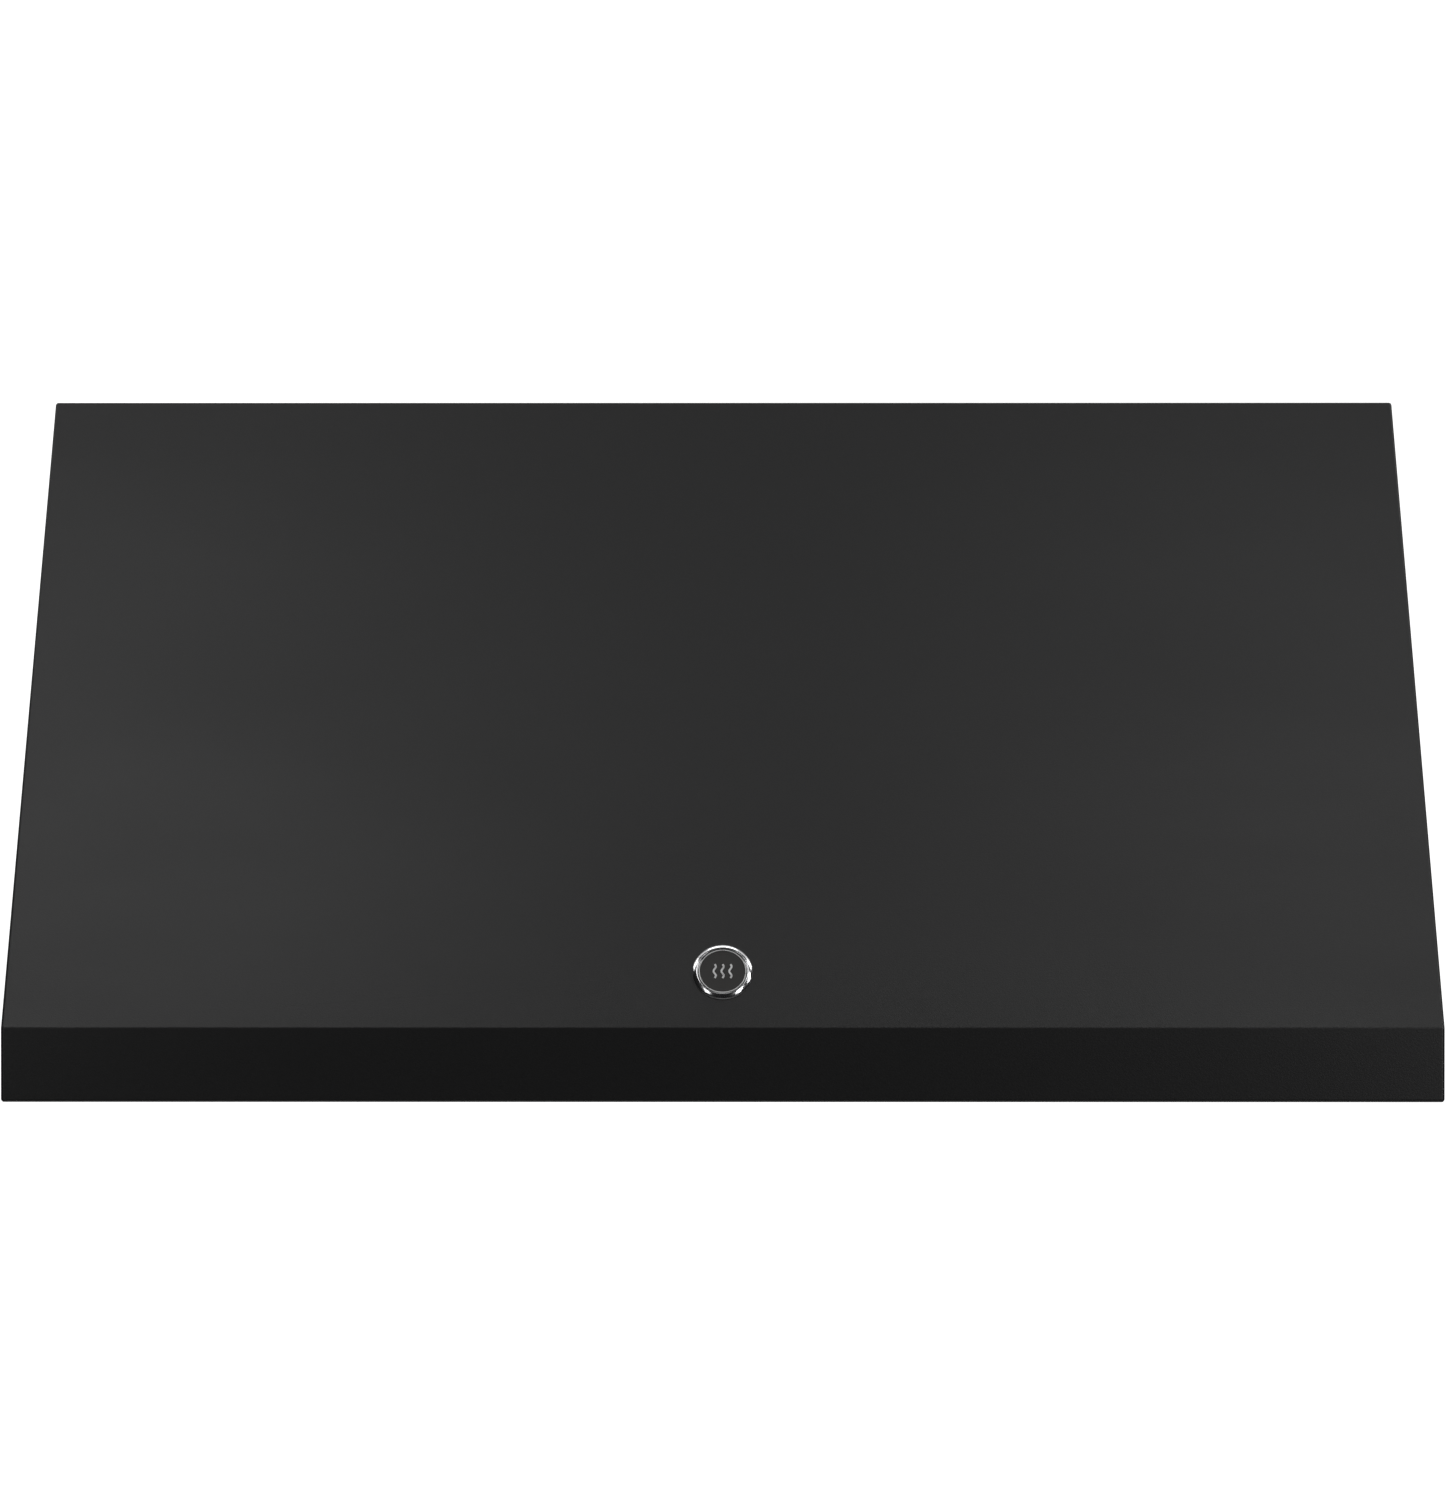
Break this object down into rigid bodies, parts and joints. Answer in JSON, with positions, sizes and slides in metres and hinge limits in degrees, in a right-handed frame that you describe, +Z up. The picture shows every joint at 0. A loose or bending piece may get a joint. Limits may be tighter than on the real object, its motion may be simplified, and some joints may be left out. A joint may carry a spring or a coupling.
{
  "type": "under-cabinet range hood",
  "caption": "Wall-hung under-cabinet range hood: sloped dark sheet-metal canopy with a short lip, drop-down baffle filters, lamps, push buttons, blower and duct collar.",
  "frame": {"origin": "middle of the bottom edge of the back panel's wall face", "axes": "+Z up, the wall is the plane y = 0 and the sloped front faces -Y, +X to the right as the cook sees it"},
  "size_m": [0.911, 0.559, 0.457],
  "materials": {
    "slate_coat": "matte textured dark grey baked coating",
    "stainless": "fine brushed stainless steel",
    "galvanised": "dull galvanised sheet",
    "bright_chrome": "polished plating",
    "badge_black": "satin dark disc",
    "badge_silver": "satin silver relief",
    "control_black": "satin black moulding",
    "button_grey": "satin dark grey push caps",
    "lens_frost": "frosted lens",
    "lamp_aluminium": "die-cast heat sink",
    "board_green": "circuit board",
    "motor_enamel": "black enamel",
    "grommet_rubber": "soft black rubber",
    "can_aluminium": "drawn aluminium can",
    "flap_aluminium": "mill finish sheet",
    "cable_jacket": "grey sheathed cable",
    "driver_white": "white case",
    "screw_zinc": "zinc plated"
  },
  "bodies": {
    "hood": {"back_panel": "galvanised", "badge_bezel": "bright_chrome", "badge_disc": "badge_black", "badge_emblem": "badge_silver", "blower_hangers": "galvanised", "control_bezel": "control_black", "control_board": "board_green", "control_box": "control_black", "damper_pin": "stainless", "duct_collar": "galvanised", "duct_transition": "galvanised", "filter_ledges": "stainless", "front_canopy": "slate_coat", "led_driver": "driver_white", "left_inlet_ring": "galvanised", "left_lamp_bezel": "bright_chrome", "left_lamp_housing": "lamp_aluminium", "left_lamp_lens": "lens_frost", "left_scroll_plate": "galvanised", "left_side_panel": "slate_coat", "light_panel": "stainless", "motor_body": "motor_enamel", "motor_bracket": "galvanised", "motor_grommets": "grommet_rubber", "rear_filter_rail": "stainless", "right_inlet_ring": "galvanised", "right_lamp_bezel": "bright_chrome", "right_lamp_housing": "lamp_aluminium", "right_lamp_lens": "lens_frost", "right_scroll_plate": "galvanised", "right_side_panel": "slate_coat", "run_capacitor": "can_aluminium", "scroll_wrap": "galvanised", "small_fasteners": "screw_zinc", "top_panel": "slate_coat", "wiring_box": "galvanised", "wiring_box_cover": "galvanised", "wiring_harness": "cable_jacket"},
    "fan": {"fan_wheel": "galvanised", "wheel_end_rings": "galvanised", "motor_shaft": "stainless"},
    "front_damper": {"front_damper_flap": "flap_aluminium"},
    "rear_damper": {"rear_damper_flap": "flap_aluminium"},
    "left_filter": {"left_filter_frame": "stainless", "left_filter_baffles": "stainless", "left_filter_springs": "stainless"},
    "left_bail": {"left_filter_bail": "stainless"},
    "centre_filter": {"centre_filter_frame": "stainless", "centre_filter_baffles": "stainless", "centre_filter_springs": "stainless"},
    "centre_bail": {"centre_filter_bail": "stainless"},
    "right_filter": {"right_filter_frame": "stainless", "right_filter_baffles": "stainless", "right_filter_springs": "stainless"},
    "right_bail": {"right_filter_bail": "stainless"},
    "lamp_button_cap": {"lamp_button": "button_grey"},
    "stop_button_cap": {"stop_button": "button_grey"},
    "slow_button_cap": {"slow_button": "button_grey"},
    "medium_button_cap": {"medium_button": "button_grey"},
    "fast_button_cap": {"fast_button": "button_grey"}
  },
  "joints": [
    {"name": "fan_spin", "type": "hinge", "parent": "hood", "child": "fan", "pos_m": [0, -0.255, 0.212], "axis": [1, 0, 0], "continuous": true},
    {"name": "front_damper_swing", "type": "hinge", "parent": "hood", "child": "front_damper", "pos_m": [0, -0.16, 0.388], "axis": [-1, 0, 0], "range_deg": [0, 78]},
    {"name": "rear_damper_swing", "type": "hinge", "parent": "hood", "child": "rear_damper", "pos_m": [0, -0.16, 0.388], "axis": [1, 0, 0], "range_deg": [0, 78]},
    {"name": "left_filter_swing", "type": "hinge", "parent": "hood", "child": "left_filter", "pos_m": [-0.287, -0.048, 0.06], "axis": [1, 0, 0], "range_deg": [0, 75]},
    {"name": "left_bail_swing", "type": "hinge", "parent": "left_filter", "child": "left_bail", "pos_m": [-0.287, -0.427, 0.0485], "axis": [1, 0, 0], "range_deg": [-30, 75]},
    {"name": "centre_filter_swing", "type": "hinge", "parent": "hood", "child": "centre_filter", "pos_m": [0, -0.048, 0.06], "axis": [1, 0, 0], "range_deg": [0, 75]},
    {"name": "centre_bail_swing", "type": "hinge", "parent": "centre_filter", "child": "centre_bail", "pos_m": [0, -0.427, 0.0485], "axis": [1, 0, 0], "range_deg": [-30, 75]},
    {"name": "right_filter_swing", "type": "hinge", "parent": "hood", "child": "right_filter", "pos_m": [0.287, -0.048, 0.06], "axis": [1, 0, 0], "range_deg": [0, 75]},
    {"name": "right_bail_swing", "type": "hinge", "parent": "right_filter", "child": "right_bail", "pos_m": [0.287, -0.427, 0.0485], "axis": [1, 0, 0], "range_deg": [-30, 75]},
    {"name": "lamp_button_press", "type": "slide", "parent": "hood", "child": "lamp_button_cap", "axis": [0, 0, 1], "range_m": [0, 0.0012], "stiffness_N_per_m": 600},
    {"name": "stop_button_press", "type": "slide", "parent": "hood", "child": "stop_button_cap", "axis": [0, 0, 1], "range_m": [0, 0.0012], "stiffness_N_per_m": 600},
    {"name": "slow_button_press", "type": "slide", "parent": "hood", "child": "slow_button_cap", "axis": [0, 0, 1], "range_m": [0, 0.0012], "stiffness_N_per_m": 600},
    {"name": "medium_button_press", "type": "slide", "parent": "hood", "child": "medium_button_cap", "axis": [0, 0, 1], "range_m": [0, 0.0012], "stiffness_N_per_m": 600},
    {"name": "fast_button_press", "type": "slide", "parent": "hood", "child": "fast_button_cap", "axis": [0, 0, 1], "range_m": [0, 0.0012], "stiffness_N_per_m": 600}
  ]
}
